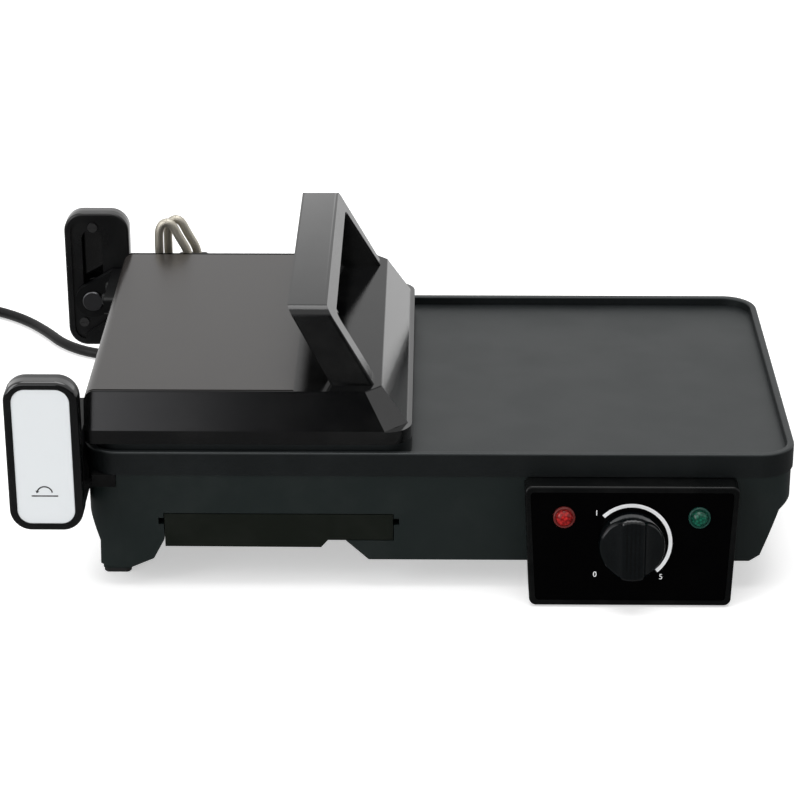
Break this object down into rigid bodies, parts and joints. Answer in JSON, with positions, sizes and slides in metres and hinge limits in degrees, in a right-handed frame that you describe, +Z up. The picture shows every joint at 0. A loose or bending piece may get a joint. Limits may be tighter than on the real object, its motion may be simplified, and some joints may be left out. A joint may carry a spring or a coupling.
{
  "type": "contact grill",
  "caption": "Contact grill on a flat base: hinged ribbed lid with slanted handle, open griddle beside it, dial box, drip tray, lifting hinge arms and mains cord.",
  "frame": {"origin": "centre of the grill's box without its cord, on the surface that it stands on", "axes": "+X to the open griddle on the right, +Y to the back where the cord leaves, +Z up"},
  "size_m": [0.642, 0.4738, 0.162],
  "materials": {
    "housing_plastic": "fine moulded grain, satin",
    "tray_plastic": "satin",
    "rubber": "matt",
    "cast_plate": "die-cast, non-stick coated, matt",
    "element_steel": "oxidised tube",
    "sheet_steel": "bright sheet",
    "ceramic": "glazed",
    "gloss_black": "high gloss",
    "fascia": "high gloss with a plain white dial print",
    "lens_red": "tinted, ribbed",
    "lens_green": "tinted, ribbed",
    "lamp_holder": "satin",
    "knob_black": "satin gloss",
    "arm_black": "satin",
    "arm_plate": "satin silver",
    "bracket_black": "painted steel",
    "pin_steel": "turned, blackened",
    "screw_steel": "blackened",
    "dark_steel": "dark coated brushed sheet",
    "braid": "braided",
    "cord_black": "smooth sheath",
    "tie_plastic": "satin",
    "plug_nickel": "nickel plated"
  },
  "bodies": {
    "base": {"base_housing": "housing_plastic", "bottom_cover": "housing_plastic", "rubber_feet": "rubber", "lower_plate": "cast_plate", "lower_grill_element": "element_steel", "griddle_element": "element_steel", "grill_reflector": "sheet_steel", "griddle_reflector": "sheet_steel", "terminal_block": "ceramic", "control_box": "gloss_black", "control_fascia": "fascia", "power_lamp_lens": "lens_red", "ready_lamp_lens": "lens_green", "lamp_holders": "lamp_holder", "thermostat_body": "ceramic", "front_arm_outer": "gloss_black", "rear_arm_outer": "gloss_black", "front_arm_inner": "arm_black", "rear_arm_inner": "arm_black", "front_arm_plate": "arm_plate", "rear_arm_plate": "arm_plate", "front_hinge_bracket": "bracket_black", "rear_hinge_bracket": "bracket_black", "arm_screws": "screw_steel", "front_conduit": "braid", "rear_conduit": "braid", "base_conduit_gland": "arm_black", "strain_relief": "cord_black", "mains_cord": "cord_black", "mains_cord_coil": "cord_black", "cord_tie": "tie_plastic", "plug_body": "cord_black", "plug_pins": "plug_nickel"},
    "drip_tray": {"drip_tray": "tray_plastic"},
    "control_knob": {"control_knob": "knob_black", "thermostat_shaft": "sheet_steel"},
    "hinge_pins": {"front_hinge_pin": "pin_steel", "rear_hinge_pin": "pin_steel"},
    "lid": {"lid_cover": "gloss_black", "lid_top_skin": "dark_steel", "upper_plate": "cast_plate", "upper_element": "element_steel", "lid_reflector": "sheet_steel", "lid_handle": "gloss_black", "front_lid_lug": "bracket_black", "rear_lid_lug": "bracket_black", "lug_screws": "screw_steel", "lid_conduit_gland": "arm_black"}
  },
  "joints": [
    {"name": "tray_slide", "type": "slide", "parent": "base", "child": "drip_tray", "axis": [0, -1, 0], "range_m": [0, 0.13]},
    {"name": "knob_turn", "type": "hinge", "parent": "base", "child": "control_knob", "pos_m": [0.127, -0.12954, 0.03768], "axis": [0, 0.9903, -0.1392], "range_deg": [-131, 138]},
    {"name": "hinge_lift", "type": "slide", "parent": "base", "child": "hinge_pins", "axis": [0, 0, 1], "range_m": [0, 0.0376], "deforming": ["front_conduit", "rear_conduit"]},
    {"name": "lid_hinge", "type": "hinge", "parent": "hinge_pins", "child": "lid", "pos_m": [-0.2023, 0, 0.0788], "axis": [0, -1, 0], "range_deg": [0, 180], "deforming": ["front_conduit", "rear_conduit"]}
  ]
}
